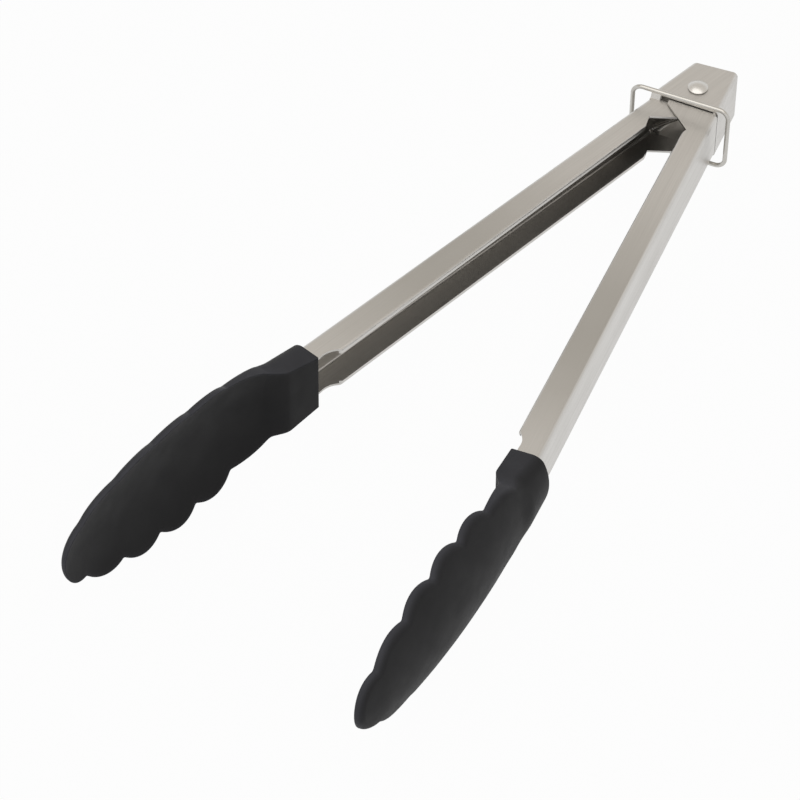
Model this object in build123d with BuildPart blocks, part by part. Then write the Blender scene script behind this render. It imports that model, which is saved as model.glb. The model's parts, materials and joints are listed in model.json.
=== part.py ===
from build123d import *
from math import acos, atan2, ceil, cos, pi, radians, sin, sqrt, tan
import os

# Spring loaded kitchen tongs, lying with the rivet upright and the arms open.
# +Z is the rivet's axis, -Y points at the heads, and the outer arm is on the -X side.
# The origin lies under the middle of the open tongs. Sizes are in millimetres and degrees.

# Arms: each is one folded steel channel, web outside and flanges above and below
half_opening = 10.9      # lean of each arm from the middle line
arm_length = 184.0       # rivet to the rear of a head's collar
arm_height = 16.6        # outer arm's channel, over its flanges
sheet = 0.8              # steel thickness
sheet_gap = 0.15         # running gap between the tab and the ears
web_at_rivet = 10.35      # arm's centre line to the outside of its web, at the rivet
web_at_collar = 11.2     # the same at the collar
edge_at_rivet = 1.9      # arm's centre line to the flange's folded edge, at the rivet
edge_at_collar = 0.5     # the same at the collar
bend_radius = 1.8        # outside of the fold between web and flange
lip_depth = 2.0          # small fold along each flange's edge
lip_radius = 1.1         # outside of that fold
trim_length = 9.7        # length over which the flange is cut back before the collar
tongue_length = 11.5     # steel inside the collar
tongue_edge = 3.2        # arm's centre line to the flange's edge inside the collar

# Pivot end of the outer arm: the cap that wraps the pivot, and the tab in front of it
cap_rear_outer = 9.2     # rivet to the cap's rear end, along the outer arm
cap_rear_inner = 12.6    # the same along the inner arm
cap_gap = 0.4            # between the cap's plates and the ears
cap_front = 9.0          # rivet to the cap's front edge, along the inner arm
step_front = 12.0        # rivet to the step down from cap to flange, along the outer arm
step_width = 3.4         # width of that step, from the web
step_run = 1.2           # length of its slope
outer_lip_end = 25.1     # rivet to the end of the outer arm's lips
outer_relief = 20.6      # rivet to the corner of the cut behind the lips
outer_relief_edge = 3.9  # arm's centre line to that corner
tab_front = 13.2         # rivet to the tab's front corner, along the outer arm
tab_reach = 4.6          # arm's centre line to that corner
tab_width = 15.6         # tab's rear edge, from the web

# Pivot end of the inner arm: two ears between the cap and the tab
seam_gap = 0.45          # between the cap's wall and the end of the inner arm's web
inner_lip_end = 23.0     # rivet to the end of the inner arm's lips
inner_relief = 20.4      # rivet to the corner of the cut behind the lips
inner_relief_edge = 2.9  # arm's centre line to that corner
ear_front = 10.0         # rivet to the ear's pointed corner, along the inner arm
ear_reach = 7.5          # arm's centre line to that corner
ear_radius = 8.3         # rounded end about the rivet

# Rivet
rivet_radius = 2.0
rivet_clearance = 0.05   # round the shank and under the heads
rivet_head_radius = 3.5
rivet_head_height = 1.6

# Torsion spring round the rivet
spring_wire = 1.6
coil_radius = 4.4        # middle of the wire
coil_pitch = 2.3
coil_turns = 4           # whole turns, besides the part turn between the legs
leg_length = 12.5        # rivet to the tip of a leg, along its arm
leg_gap = 0.1            # between a leg's tip and the web that it pushes

# Lock ring: a closed wire rectangle round both arms
ring_wire = 1.6
ring_width = 35.0        # middle to middle of the wire
ring_height = 25.2       # middle to middle of the wire
ring_corner = 3.6        # middle of the wire
ring_turn = 8.4          # how far the ring stands askew
ring_ahead = 12.1        # rivet to the ring's middle
ring_rest_gap = 0.45     # between the ring's lower run and the inner arm

# Heads: a collar round the steel tongue, then a dished blade with scalloped edges
collar_length = 12.8
collar_half_rear = 11.3  # half height of the collar at its rear
collar_half_front = 13.45
collar_face = 1.5        # arm's centre line to the collar's inner face
collar_back = 14.9       # arm's centre line to the collar's back, at mid height
collar_round = 22.0      # radius of the collar's back across its height
dish_radius = 45.0       # radius of the blade across its height
head_lift = 3.3          # how far a head rises along its length, from the front of the collar
head_length = 116.2      # collar's rear to the tip
first_notch = 18.95      # collar's rear to the first pair of notches
lobe_pitch = 17.43
lobe_depth = 2.95        # height of a lobe over its two notches
notch_count = 6
notch_centre = 59.0      # the notches lie on an ellipse: its middle, and its half axes
notch_span = 57.0
notch_half = 20.45
tip_shoulder = 0.65      # share of the tip's length at which its outline turns in
tip_fullness = 0.80      # share of the last notch's height that is left there
blade_margin = 2.0       # extra height of the raw blade, which the outline then cuts away

# Blade at its mid height: distance from the collar's rear, inner face and back, towards the other arm
blade_line = [(21.0, -7.8, -13.2), (36.0, -9.9, -12.6), (53.0, -8.7, -11.4), (71.0, -6.6, -9.3),
              (86.0, -4.0, -6.7), (103.0, -0.3, -3.0), (118.0, 5.4, 2.7)]

# Levels and places that follow from these
lean = radians(half_opening)
tilt = radians(head_lift)
outer_half = arm_height / 2
inner_half = outer_half + sheet_gap + sheet
cap_half = inner_half + cap_gap + sheet
seam = cap_front + seam_gap
tongue_end = arm_length + tongue_length
OUTER, INNER = -1, 1


def web_line(along):
    """Outside of an arm's web, measured inward from the arm's centre line."""
    return -(web_at_rivet + (web_at_collar - web_at_rivet) * along / arm_length)


def edge_line(along):
    """Folded edge of an arm's flange, measured inward from the arm's centre line."""
    return -(edge_at_rivet + (edge_at_collar - edge_at_rivet) * along / arm_length)


def plan(side, along, inward):
    """Point in the pivot's plan, given along one arm and inward of its centre line."""
    return Vector(side * (along * sin(lean) - inward * cos(lean)), -along * cos(lean) - inward * sin(lean))


def notch_height(along):
    """Half height of a head at a notch."""
    return notch_half * sqrt(1 - ((along - notch_centre) / notch_span) ** 2)


notches = [first_notch + lobe_pitch * count for count in range(notch_count)]


def raised(along, height):
    """Point of a head's side view, with the head's rise along its length."""
    return along, height + (along - collar_length) * tan(tilt)


def lobe_points(count, way):
    """Start, crest and end of a lobe on the upper or the lower edge."""
    start, end = notches[count], notches[count + 1]
    depth = lobe_depth if count else lobe_depth / 2
    crest = (notch_height(start) + notch_height(end)) / 2 + depth
    return [raised(start, way * notch_height(start)), raised((start + end) / 2, way * crest),
            raised(end, way * notch_height(end))]


# The lower lobes stand on the ground, and the tips and the cap's rear are equally far from the origin
lower_lobes = [ThreePointArc(*lobe_points(count, -1)) for count in range(notch_count - 1)]
pivot_height = max(lobe.radius - lobe.arc_center.Y for lobe in lower_lobes)
tip_plan = plan(INNER, arm_length + head_length, blade_line[-1][1])
rear_plan = plan(INNER, -cap_rear_inner, web_line(-cap_rear_inner))
pivot_y = -(tip_plan.Y + rear_plan.Y) / 2
pivot_point = Vector(0, pivot_y, pivot_height)

pivot_plane = Plane(origin=pivot_point)
outer_plane = Plane(origin=pivot_point, x_dir=(-sin(lean), -cos(lean), 0), z_dir=(0, 0, 1))
inner_plane = Plane(origin=pivot_point, x_dir=(sin(lean), -cos(lean), 0), z_dir=(0, 0, -1))


def station(plane, along):
    """Plane across an arm: its x is inward and its y is the height."""
    return Plane(plane.from_local_coords(Vector(along, 0, 0)), x_dir=plane.y_dir, z_dir=plane.x_dir)


def channel_section(plane, along, half):
    """C section of an arm with a small lip on each flange."""
    web, edge = web_line(along), edge_line(along)
    outside = [(edge, half - lip_depth), (edge, half), (web, half)]
    inside = [(edge - sheet, half - lip_depth), (edge - sheet, half - sheet), (web + sheet, half - sheet)]
    outside += [(x, -y) for x, y in reversed(outside)]
    inside += [(x, -y) for x, y in reversed(inside)]
    folds = [lip_radius, bend_radius, bend_radius, lip_radius]
    with BuildSketch(station(plane, along)) as section:
        with BuildLine():
            FilletPolyline(*outside, radius=folds)
            FilletPolyline(*inside, radius=[fold - sheet for fold in folds])
            Line(outside[0], inside[0])
            Line(outside[-1], inside[-1])
        make_face()
    return section.sketch


def flange_plates(plane, half, points):
    """Flat sheet of one outline in both flanges of an arm."""
    for level in (half - sheet, -half):
        with BuildSketch(plane.offset(level)) as plate:
            Polygon(*points, align=None)
        extrude(plate.sketch, amount=sheet)


def cut_lips(plane, lip_end, relief, relief_edge):
    """Cut that ends the lips and narrows the flanges near the pivot."""
    beyond = ear_radius + edge_at_rivet
    with BuildSketch(plane) as cut:
        Polygon((lip_end, beyond), (lip_end, edge_line(lip_end)), (relief, -relief_edge),
                (-beyond, -relief_edge), (-beyond, beyond), align=None)
    extrude(cut.sketch, amount=cap_half, both=True, mode=Mode.SUBTRACT)


def cut_tongue(plane):
    """Curved cut that narrows the flanges to the tongue inside the collar."""
    start = arm_length - trim_length
    settle = arm_length - trim_length / 4
    end = tongue_end + sheet
    clear = edge_at_rivet
    middle_point = ((2 * start + settle) / 3, -tongue_edge + (tongue_edge + edge_line(start)) / 4)
    with BuildSketch(plane) as cut:
        with BuildLine():
            Line((start, clear), (start, edge_line(start)))
            ThreePointArc((start, edge_line(start)), middle_point, (settle, -tongue_edge))
            Polyline((settle, -tongue_edge), (end, -tongue_edge), (end, clear), (start, clear))
        make_face()
    extrude(cut.sketch, amount=cap_half, both=True, mode=Mode.SUBTRACT)


def rivet_hole():
    """Hole for the rivet right through the part being built."""
    with BuildSketch(pivot_plane) as hole:
        Circle(rivet_radius + rivet_clearance)
    extrude(hole.sketch, amount=cap_half + sheet, both=True, mode=Mode.SUBTRACT)


# The cap's front edge, from the step at the outer arm's web to the inner arm's web
step_outer = plan(OUTER, step_front, web_line(step_front))
front_right = plan(INNER, cap_front, web_line(cap_front))
across = (front_right - step_outer).normalized()
ahead = Vector(across.Y, -across.X)
slot_end = step_outer + across * step_width
rear_left = plan(OUTER, -cap_rear_outer, web_line(-cap_rear_outer))
left_fold = Axis((0, 0, 0), rear_left - step_outer)
right_fold = Axis((0, 0, 0), rear_plan - front_right)

# Room inside the cap: open at the rear, and in front where the ears pass
with BuildPart() as cap_room:
    inner_left_front = plan(OUTER, step_front - sheet, web_line(step_front) + sheet)
    inner_left_rear = plan(OUTER, -2 * cap_rear_outer, web_line(-2 * cap_rear_outer) + sheet)
    inner_right_rear = plan(INNER, -2 * cap_rear_inner, web_line(-2 * cap_rear_inner) + sheet)
    inner_right_front = plan(INNER, cap_front + sheet, web_line(cap_front + sheet) + sheet)
    with BuildSketch(pivot_plane):
        Polygon(inner_left_front, slot_end - ahead * sheet, slot_end + ahead * sheet, inner_right_front,
                inner_right_rear, inner_left_rear, align=None)
    extrude(amount=cap_half - sheet, both=True)
    inner_left_fold = Axis((0, 0, 0), inner_left_rear - inner_left_front)
    inner_right_fold = Axis((0, 0, 0), inner_right_rear - inner_right_front)
    folds = cap_room.edges().filter_by(inner_left_fold) + cap_room.edges().filter_by(inner_right_fold)
    fillet(folds, bend_radius - sheet)
    channel_mouth = plan(OUTER, step_front + sheet, web_line(step_front + sheet) + sheet)
    with BuildSketch(pivot_plane):
        Polygon(channel_mouth, inner_right_front, inner_right_rear, inner_left_rear, align=None)
    extrude(amount=outer_half - sheet, both=True)

with BuildPart() as cap:
    with BuildSketch(pivot_plane):
        Polygon(step_outer, front_right, rear_plan, rear_left, align=None)
    extrude(amount=cap_half, both=True)
    fillet(cap.edges().filter_by(left_fold) + cap.edges().filter_by(right_fold), bend_radius)
    add(cap_room.part, mode=Mode.SUBTRACT)

# Outer arm: channel, tab, step and cap are one folded sheet
with BuildPart() as outer_arm:
    outer_ends = (step_front - step_width, tongue_end)
    loft([channel_section(outer_plane, along, outer_half) for along in outer_ends], ruled=True)
    cut_lips(outer_plane, outer_lip_end, outer_relief, outer_relief_edge)
    cut_tongue(outer_plane)
    step_foot = step_outer + ahead * step_run
    with BuildSketch(pivot_plane):
        Polygon(step_foot - across * ear_radius, step_foot + across * 2 * tab_width,
                step_foot + across * 2 * tab_width - ahead * tab_width,
                step_foot - across * ear_radius - ahead * tab_width, align=None)
    extrude(amount=cap_half, both=True, mode=Mode.SUBTRACT)
    tab_corner = plan(OUTER, tab_front, tab_reach)
    relief_corner = plan(OUTER, outer_relief, -outer_relief_edge)
    fold_start = plan(OUTER, outer_relief, web_line(outer_relief) + bend_radius)
    slot_foot = slot_end + ahead * step_run
    tab_rear = step_outer + across * tab_width + ahead * sheet
    flange_plates(pivot_plane, outer_half, [relief_corner, tab_corner, tab_rear, slot_end + ahead * sheet,
                                            slot_foot, step_foot + across * bend_radius, fold_start])
    step_plane = Plane(pivot_plane.from_local_coords(slot_end), x_dir=ahead, z_dir=-across)
    for way in (1, -1):
        slope = [(-sheet, cap_half), (0, cap_half), (step_run, outer_half), (step_run + sheet, outer_half),
                 (step_run + sheet, outer_half - sheet), (step_run - sheet, outer_half - sheet),
                 (-sheet, cap_half - sheet)]
        with BuildSketch(step_plane):
            Polygon(*[(x, way * z) for x, z in slope], align=None)
        extrude(amount=step_width)
    with BuildSketch(outer_plane):
        Polygon(*[(along, web_line(along) + inset) for along, inset in
                  ((step_front - step_width, 0), (step_front + step_width, 0),
                   (step_front + step_width, sheet), (step_front - step_width, sheet))], align=None)
    extrude(amount=outer_half - bend_radius, both=True)
    add(cap.part)
    rivet_hole()
outer_arm.part.label = "outer_arm"

# Inner arm: a wider channel over the tab, with an ear above and below
with BuildPart() as inner_arm:
    loft([channel_section(inner_plane, along, inner_half) for along in (seam, tongue_end)], ruled=True)
    cut_lips(inner_plane, inner_lip_end, inner_relief, inner_relief_edge)
    cut_tongue(inner_plane)
    ear = [(inner_relief, -inner_relief_edge), (ear_front, ear_reach), (0, ear_radius), (0, -ear_radius),
           (seam, web_line(seam) + bend_radius), (inner_relief, web_line(inner_relief) + bend_radius)]
    flange_plates(inner_plane, inner_half, ear)
    for level in (inner_half - sheet, -inner_half):
        with BuildSketch(inner_plane.offset(level)):
            Circle(ear_radius)
        extrude(amount=sheet)
    rivet_hole()
inner_arm.part.label = "inner_arm"

# Rivet: shank with a domed head at each end
with BuildPart() as pivot_rivet:
    seat = cap_half + rivet_clearance
    with BuildSketch(Plane(origin=pivot_point, x_dir=(1, 0, 0), z_dir=(0, -1, 0))):
        with BuildLine():
            top = (0, seat + rivet_head_height)
            rim = (rivet_head_radius, seat)
            dome = (rivet_head_radius * sin(pi / 4), seat + rivet_head_height * cos(pi / 4))
            Line((0, 0), top)
            ThreePointArc(top, dome, rim)
            Polyline(rim, (rivet_radius, seat), (rivet_radius, 0), (0, 0))
        make_face()
    revolve(axis=Axis(pivot_point, (0, 0, 1)))
    mirror(about=pivot_plane)
pivot_rivet.part.label = "pivot_rivet"

# Torsion spring: a leg along each web, and the turns between them
leg_tip = Vector(leg_length, web_line(leg_length) + sheet + leg_gap + spring_wire / 2)
leg_angle = atan2(leg_tip.Y, leg_tip.X) - acos(coil_radius / leg_tip.length)
start_angle = -pi / 2 - lean + leg_angle + 2 * pi
sweep_angle = 2 * pi * coil_turns + 2 * start_angle - pi
span_count = ceil(sweep_angle / (pi / 2))
coil_rise = coil_pitch * sweep_angle / (2 * pi)
steepness = coil_pitch / (2 * pi * coil_radius)


def coil_point(share):
    """Point of the coil's wire at a share of its turns."""
    angle = start_angle - sweep_angle * share
    level = coil_rise * (share - 0.5)
    return pivot_point + Vector(coil_radius * cos(angle), coil_radius * sin(angle), level)


def coil_heading(share):
    """Direction of the wire there, level at both ends where the legs begin."""
    angle = start_angle - sweep_angle * share
    rise = 0 if share in (0, 1) else steepness
    return Vector(sin(angle), -cos(angle), rise).normalized()


with BuildPart() as torsion_spring:
    with BuildLine() as spring_path:
        Line(pivot_point + plan(OUTER, leg_tip.X, leg_tip.Y) - Vector(0, 0, coil_rise / 2), coil_point(0))
        for count in range(span_count):
            begin, end = coil_point(count / span_count), coil_point((count + 1) / span_count)
            heading, leaving = coil_heading(count / span_count), coil_heading((count + 1) / span_count)
            chord = end - begin
            both = heading + leaving
            spread = 2 * (1 - heading.dot(leaving))
            root = sqrt(chord.dot(both) ** 2 + 2 * spread * chord.dot(chord))
            reach = (root - chord.dot(both)) / (2 * spread)
            near, far = begin + heading * reach, end - leaving * reach
            meeting = (near + far) / 2
            TangentArc(begin, meeting, tangent=heading)
            TangentArc(meeting, end, tangent=far - near)
        Line(coil_point(1), pivot_point + plan(INNER, leg_tip.X, leg_tip.Y) + Vector(0, 0, coil_rise / 2))
    with BuildSketch(Plane(origin=spring_path.wire() @ 0, z_dir=spring_path.wire() % 0)):
        Circle(spring_wire / 2)
    sweep(path=spring_path.wire())
torsion_spring.part.label = "torsion_spring"

# Least gap between turns of the spring, measured on points of its wire
samples = 400
coil_points = [coil_point(count / samples) for count in range(samples + 1)]
half_turn = int(samples * pi / sweep_angle)
least_distance = min((near - far).length for count, near in enumerate(coil_points)
                     for far in coil_points[count + half_turn:])
print("torsion spring: least gap to itself", round(least_distance - spring_wire, 3), "mm")

# Lock ring, its lower run just under the inner arm
ring_low = -(inner_half + ring_rest_gap + ring_wire / 2)
ring_middle = pivot_point + Vector(0, -ring_ahead, ring_low + ring_height / 2)
turned = radians(ring_turn)
ring_plane = Plane(ring_middle, x_dir=(cos(turned), sin(turned), 0), z_dir=(sin(turned), -cos(turned), 0))
with BuildPart() as lock_ring:
    with BuildLine(ring_plane) as ring_path:
        half_width, half_height = ring_width / 2, ring_height / 2
        FilletPolyline((half_width, -half_height), (half_width, half_height), (-half_width, half_height),
                       (-half_width, -half_height), radius=ring_corner, close=True)
    with BuildSketch(Plane(origin=ring_path.wire() @ 0, z_dir=ring_path.wire() % 0)):
        Circle(ring_wire / 2)
    sweep(path=ring_path.wire())
lock_ring.part.label = "lock_ring"


def head_section(place, half, face, back, face_round, back_round):
    """Section across a head: a round back, and a round inner face or, for radius nought, a flat one."""
    face_rise = face_round - sqrt(face_round ** 2 - half ** 2) if face_round else 0
    back_rise = back_round - sqrt(back_round ** 2 - half ** 2)
    with BuildSketch(place) as section:
        with BuildLine():
            ThreePointArc((back + back_rise, half), (back, 0), (back + back_rise, -half))
            Line((back + back_rise, -half), (face + face_rise, -half))
            if face_round:
                ThreePointArc((face + face_rise, -half), (face, 0), (face + face_rise, half))
            else:
                Line((face, -half), (face, half))
            Line((face + face_rise, half), (back + back_rise, half))
        make_face()
    return section.sketch


def raised_station(plane, along):
    """Plane across a head at a distance from the collar's rear, on the head's risen middle line."""
    level = station(plane, arm_length + along)
    return Plane(level.origin + Vector(0, 0, raised(along, 0)[1]), x_dir=level.x_dir, z_dir=level.z_dir)


def collar_section(plane, along, half):
    """Section across the collar, with a flat inner face."""
    place = raised_station(plane, along)
    return head_section(place, half, -collar_face, -collar_back, 0, collar_round)


def blade_section(plane, along, face, back):
    """Section across the blade, higher than the outline that cuts it."""
    inside = min(max(along, notches[0]), notches[-1])
    half = notch_height(inside) + lobe_depth + blade_margin
    return head_section(raised_station(plane, along), half, face, back, dish_radius, dish_radius)


def head_outline(plane):
    """Side view of a head: the collar, the lobes between the notches, and the rounded tip."""
    up = plane.z_dir.Z
    last = notches[-1]
    tip_turn = last + (head_length - last) * tip_shoulder
    for way in (1, -1):
        shoulder = raised(first_notch, way * notch_height(first_notch))
        neck = [(0, 0), raised(0, way * collar_half_rear), raised(collar_length, way * collar_half_front),
                shoulder]
        Polyline(*[(along, up * height) for along, height in neck])
        for count in range(notch_count - 1):
            ThreePointArc(*[(along, up * height) for along, height in lobe_points(count, way)])
        last_half = way * notch_height(last)
        tip = [raised(last, last_half), raised(tip_turn, last_half * tip_fullness), raised(head_length, 0)]
        ThreePointArc(*[(along, up * height) for along, height in tip])


def tong_head(plane, arm):
    """One moulded head on its arm's tongue."""
    rear = plane.from_local_coords(Vector(arm_length, 0, 0))
    side_view = Plane(rear, x_dir=plane.x_dir, z_dir=-plane.y_dir)
    with BuildPart() as head:
        collar_rear = collar_section(plane, 0, collar_half_rear)
        collar_end = collar_section(plane, collar_length, collar_half_front)
        blade = [blade_section(plane, *place) for place in blade_line]
        loft([collar_rear, collar_end], ruled=True)
        loft([collar_end, blade[0]], ruled=True)
        loft(blade)
        with BuildSketch(side_view):
            with BuildLine():
                head_outline(plane)
            make_face()
        extrude(amount=2 * collar_back, both=True, mode=Mode.INTERSECT)
        add(arm.part, mode=Mode.SUBTRACT)
    return head


left_head = tong_head(outer_plane, outer_arm)
left_head.part.label = "left_head"
right_head = tong_head(inner_plane, inner_arm)
right_head.part.label = "right_head"

os.makedirs("parts", exist_ok=True)
export_step(outer_arm.part, "parts/outer_arm.step")
export_step(inner_arm.part, "parts/inner_arm.step")
export_step(pivot_rivet.part, "parts/pivot_rivet.step")
export_step(torsion_spring.part, "parts/torsion_spring.step")
export_step(lock_ring.part, "parts/lock_ring.step")
export_step(left_head.part, "parts/left_head.step")
export_step(right_head.part, "parts/right_head.step")
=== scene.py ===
import json
from math import acos, asin, atan2, cos, pi, radians, sin, tan

import bpy
import numpy as np
from bpy.props import FloatProperty, FloatVectorProperty, IntProperty, PointerProperty
from mathutils import Matrix, Vector


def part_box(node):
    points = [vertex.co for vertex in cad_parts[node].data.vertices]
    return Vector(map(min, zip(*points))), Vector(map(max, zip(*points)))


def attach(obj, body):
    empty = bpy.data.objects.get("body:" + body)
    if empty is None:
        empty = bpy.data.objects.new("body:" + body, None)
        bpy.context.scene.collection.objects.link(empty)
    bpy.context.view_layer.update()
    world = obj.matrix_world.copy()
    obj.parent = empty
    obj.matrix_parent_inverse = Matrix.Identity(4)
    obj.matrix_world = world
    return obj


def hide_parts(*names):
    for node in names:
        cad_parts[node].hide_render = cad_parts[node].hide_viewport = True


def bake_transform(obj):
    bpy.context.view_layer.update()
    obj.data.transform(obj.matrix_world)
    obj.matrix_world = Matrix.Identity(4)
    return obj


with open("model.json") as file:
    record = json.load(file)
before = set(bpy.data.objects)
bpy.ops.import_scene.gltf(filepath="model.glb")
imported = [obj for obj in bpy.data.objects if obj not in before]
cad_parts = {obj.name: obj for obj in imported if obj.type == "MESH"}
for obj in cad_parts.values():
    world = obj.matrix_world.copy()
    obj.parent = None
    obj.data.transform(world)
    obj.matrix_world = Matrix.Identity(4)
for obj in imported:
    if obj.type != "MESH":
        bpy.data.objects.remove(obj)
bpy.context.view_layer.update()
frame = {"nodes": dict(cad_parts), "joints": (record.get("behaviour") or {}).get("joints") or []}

bl_info = {
    "name": "Kitchen Tongs",
    "version": (1, 0, 0),
    "blender": (4, 5, 0),
    "location": "View3D > Sidebar > Tongs",
    "description": "Dresses the packed kitchen tongs: arms, heads, rivet, spring, lock ring and stage",
    "category": "Object",
}

# The point that both arms turn about
PIVOT = Vector(next(joint for joint in frame["joints"] if joint["name"] == "left_arm_hinge")["pos_m"])

# Side of the middle line on which each arm lies
OUTER, INNER = -1, 1

# Side line of a blade from its shoulder to its tip: place along the head, gripping face and back
BLADE_LINE = [(0.021, -0.0078, -0.0132), (0.036, -0.0099, -0.0126), (0.053, -0.0087, -0.0114),
              (0.071, -0.0066, -0.0093), (0.086, -0.0040, -0.0067), (0.103, -0.0003, -0.0030),
              (0.118, 0.0046, 0.0019)]

# Grid of a head: how strongly it crowds together at the collar's rear, at the tip and at the rims
REAR_CROWDING = 2.4
TIP_CROWDING = 2.2
RIM_CROWDING = 2.6
NOTCH_WINDOW = 1.2       # reach of the close stations at a notch, in lengths of its rounding
NOTCH_STATIONS = 7       # close stations at a notch
NOTCH_SAMPLES = 9        # places that are averaged to round a notch
EDGE_SAMPLES = 500       # even places along the edge that distances are measured to
LEAST_STEP = 0.00002     # stations closer than this to the last one are dropped
TIP_STOP = 0.00001       # distance of the last station from the tip

# Patterns of steel: scale of the lines, share of that scale left along them, and strength of relief
BRUSHED_SHEET = {"fineness": 2600.0, "stretch": 0.016, "relief": 0.3}
DRAWN_RING = {"fineness": 2600.0, "stretch": 0.3, "relief": 0.08}
DRAWN_SPRING = {"fineness": 3000.0, "stretch": 0.3, "relief": 0.08}
SATIN_RIVET = {"fineness": 3000.0, "stretch": 0.2, "relief": 0.08}
SATIN_TURN = 0.6         # direction of the rivet's lines, in radians
COARSE_SCALE = 0.22      # scale of the broad lines, as a share of the fine ones
FINE_SHARE = 0.6         # share of the fine lines in the pattern
BRUSH_DEPTH = 0.00002    # depth of the lines

# Surfaces: contrast of the patterns, scales of the cloudy handling marks, and what these change
LINE_CONTRAST = (0.32, 0.68)
CLOUD_CONTRAST = (0.35, 0.7)
STEEL_CLOUDS = 45.0
NYLON_CLOUDS = 90.0
FLOOR_CLOUDS = 3.0
ROUGH_SPREAD = 0.05      # roughness that a pattern adds and takes away
MARK_ROUGH = 0.08        # roughness that handling adds to steel
LEAST_HIGHLIGHT = 0.8          # share of the rim's painted highlight that is left between the marks
GRAIN_SCALE = 2600.0     # scale of the nylon's grain
GRAIN_DEPTH = 0.00003
GRAIN_RELIEF = 0.2
FLOOR_TONE = 0.01        # how much paler the floor's clouds are
FLOOR_ROUGH = 0.9
FLOOR_SHINE = 0.1

# An arm's faces: share of the sheet counted as its skin, and how far the painted shade inside clears forward
SKIN_SHARE = 0.6
INSIDE_SHADE_FADE = 0.75

# Mesh work: points closer than these are merged, and angles below these are flattened or smoothed
MERGE = 0.000001
SHEET_MERGE = 0.000002
SHEET_FLAT = radians(0.6)
SHEET_SMOOTH = radians(32)
RIVET_SMOOTH = radians(45)
WIRE_SMOOTH = radians(50)
LEAST_RADIUS = 0.00002   # last ring of points on a dome


def length(name, description, default):
    """Length property in metres."""
    return FloatProperty(name=name, description=description, default=default, unit="LENGTH", precision=5)


def angle(name, description, default):
    """Angle property, its default given in degrees."""
    return FloatProperty(name=name, description=description, default=radians(default), subtype="ANGLE")


def share(name, description, default):
    """Share of a whole, from nought to one."""
    return FloatProperty(name=name, description=description, default=default, min=0, max=1, subtype="FACTOR")


def whole(name, description, default, least):
    """Whole number that isn't less than a limit."""
    return IntProperty(name=name, description=description, default=default, min=least)


def power(name, description, default):
    """Power of a lamp in watts."""
    return FloatProperty(name=name, description=description, default=default, unit="POWER")


def place(name, description, default):
    """Point or offset in metres."""
    return FloatVectorProperty(name=name, description=description, default=default, size=3, precision=5,
                               subtype="TRANSLATION", unit="LENGTH")


def colour(name, description, default):
    """Linear colour without alpha."""
    return FloatVectorProperty(name=name, description=description, default=default, size=3, min=0, max=1,
                               subtype="COLOR")


class TongsArms(bpy.types.PropertyGroup):
    """Sizes of the folded arms"""
    lean: angle("Lean", "How far each arm leans from the middle line", 10.9)
    span: length("Span", "Rivet to the rear of a head's collar", 0.184)
    sheet: length("Sheet", "Thickness of the folded sheet", 0.0008)
    outer_half: length("Outer half", "Half height of the outer arm", 0.0083)
    inner_half: length("Inner half", "Half height of the inner arm", 0.00925)
    web_rear: length("Web rear", "Arm's centre line to its web at the rivet", 0.01035)
    web_front: length("Web front", "Arm's centre line to its web at the collar", 0.0112)
    edge_rear: length("Edge rear", "Arm's centre line to its folded edge at the rivet", 0.0019)
    edge_front: length("Edge front", "Arm's centre line to its folded edge at the collar", 0.0005)
    # Held and its reach set where the flanges take a painted shade, darker round the middle of each arm
    held: share("Held", "Place where an arm is held, as a share of its span", 0.66)
    shade_reach: length("Held reach", "How far the held place reaches each way", 0.085)
    edge_round: length("Edge round", "Rounding of the cut edges of the sheet", 0.00012)
    edge_segments: whole("Edge segments", "Faces across a rounded edge", 2, 1)
    fold_angle: angle("Fold angle", "Least angle of an edge that is rounded", 40)


class TongsHeads(bpy.types.PropertyGroup):
    """Sizes of the moulded heads"""
    reach: length("Reach", "Collar's rear to the tip", 0.1162)
    lift: angle("Lift", "How far a head rises along its length, from the front of the collar", 3.3)
    collar: length("Collar", "Length of the collar", 0.0128)
    collar_rear: length("Collar rear", "Half height of the collar at its rear", 0.0113)
    collar_front: length("Collar front", "Half height of the collar at its front", 0.01345)
    collar_face: length("Collar face", "Arm's centre line to the collar's gripping side", -0.0015)
    collar_back: length("Collar back", "Arm's centre line to the middle of the collar's back", -0.01488)
    collar_round: length("Collar round", "Radius of the collar's back across its height", 0.022)
    shoulder: length("Shoulder", "Collar's rear to the end of the shoulder", 0.021)
    dish: length("Dish", "Radius of the blade across its height", 0.045)
    first_notch: length("First notch", "Collar's rear to the first pair of notches", 0.01895)
    lobe_pitch: length("Lobe pitch", "Distance between notches", 0.01743)
    lobe_depth: length("Lobe depth", "Height of a lobe over its two notches", 0.00293)
    notch_centre: length("Notch centre", "Middle of the ellipse that the notches lie on", 0.0590)
    notch_span: length("Notch span", "Half length of that ellipse", 0.0570)
    notch_half: length("Notch half", "Half height of that ellipse", 0.02045)
    notch_count: whole("Notches", "Notches along each edge", 6, 2)
    notch_round: length("Notch round", "Half length over which a notch is rounded", 0.0006)
    tip_power: FloatProperty(name="Tip power", description="Fullness of the tip's outline, 2 for an ellipse",
                             default=2.1, min=1)
    face_round: length("Face round", "Rounding of the rim on the gripping side", 0.0004)
    back_round: length("Back round", "Rounding of the blade's rim on the back", 0.0018)
    collar_edge: length("Collar edge", "Rounding of the collar's edges on the back", 0.0030)
    rear_edge: length("Rear edge", "Rounding round the collar's rear opening", 0.0005)
    # Rub width and collar rub shape a painted highlight along the rims, standing in for light caught there
    highlight_width: length("Rub width", "How quickly the rubbed look fades away from a rim", 0.0005)
    collar_highlight: share("Collar rub", "How much the collar is rubbed, as a share of the blade", 0.62)
    rows: whole("Rows", "Rows of faces from the middle to a rim", 20, 6)
    steps: whole("Steps", "Faces along each lobe", 18, 6)


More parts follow.
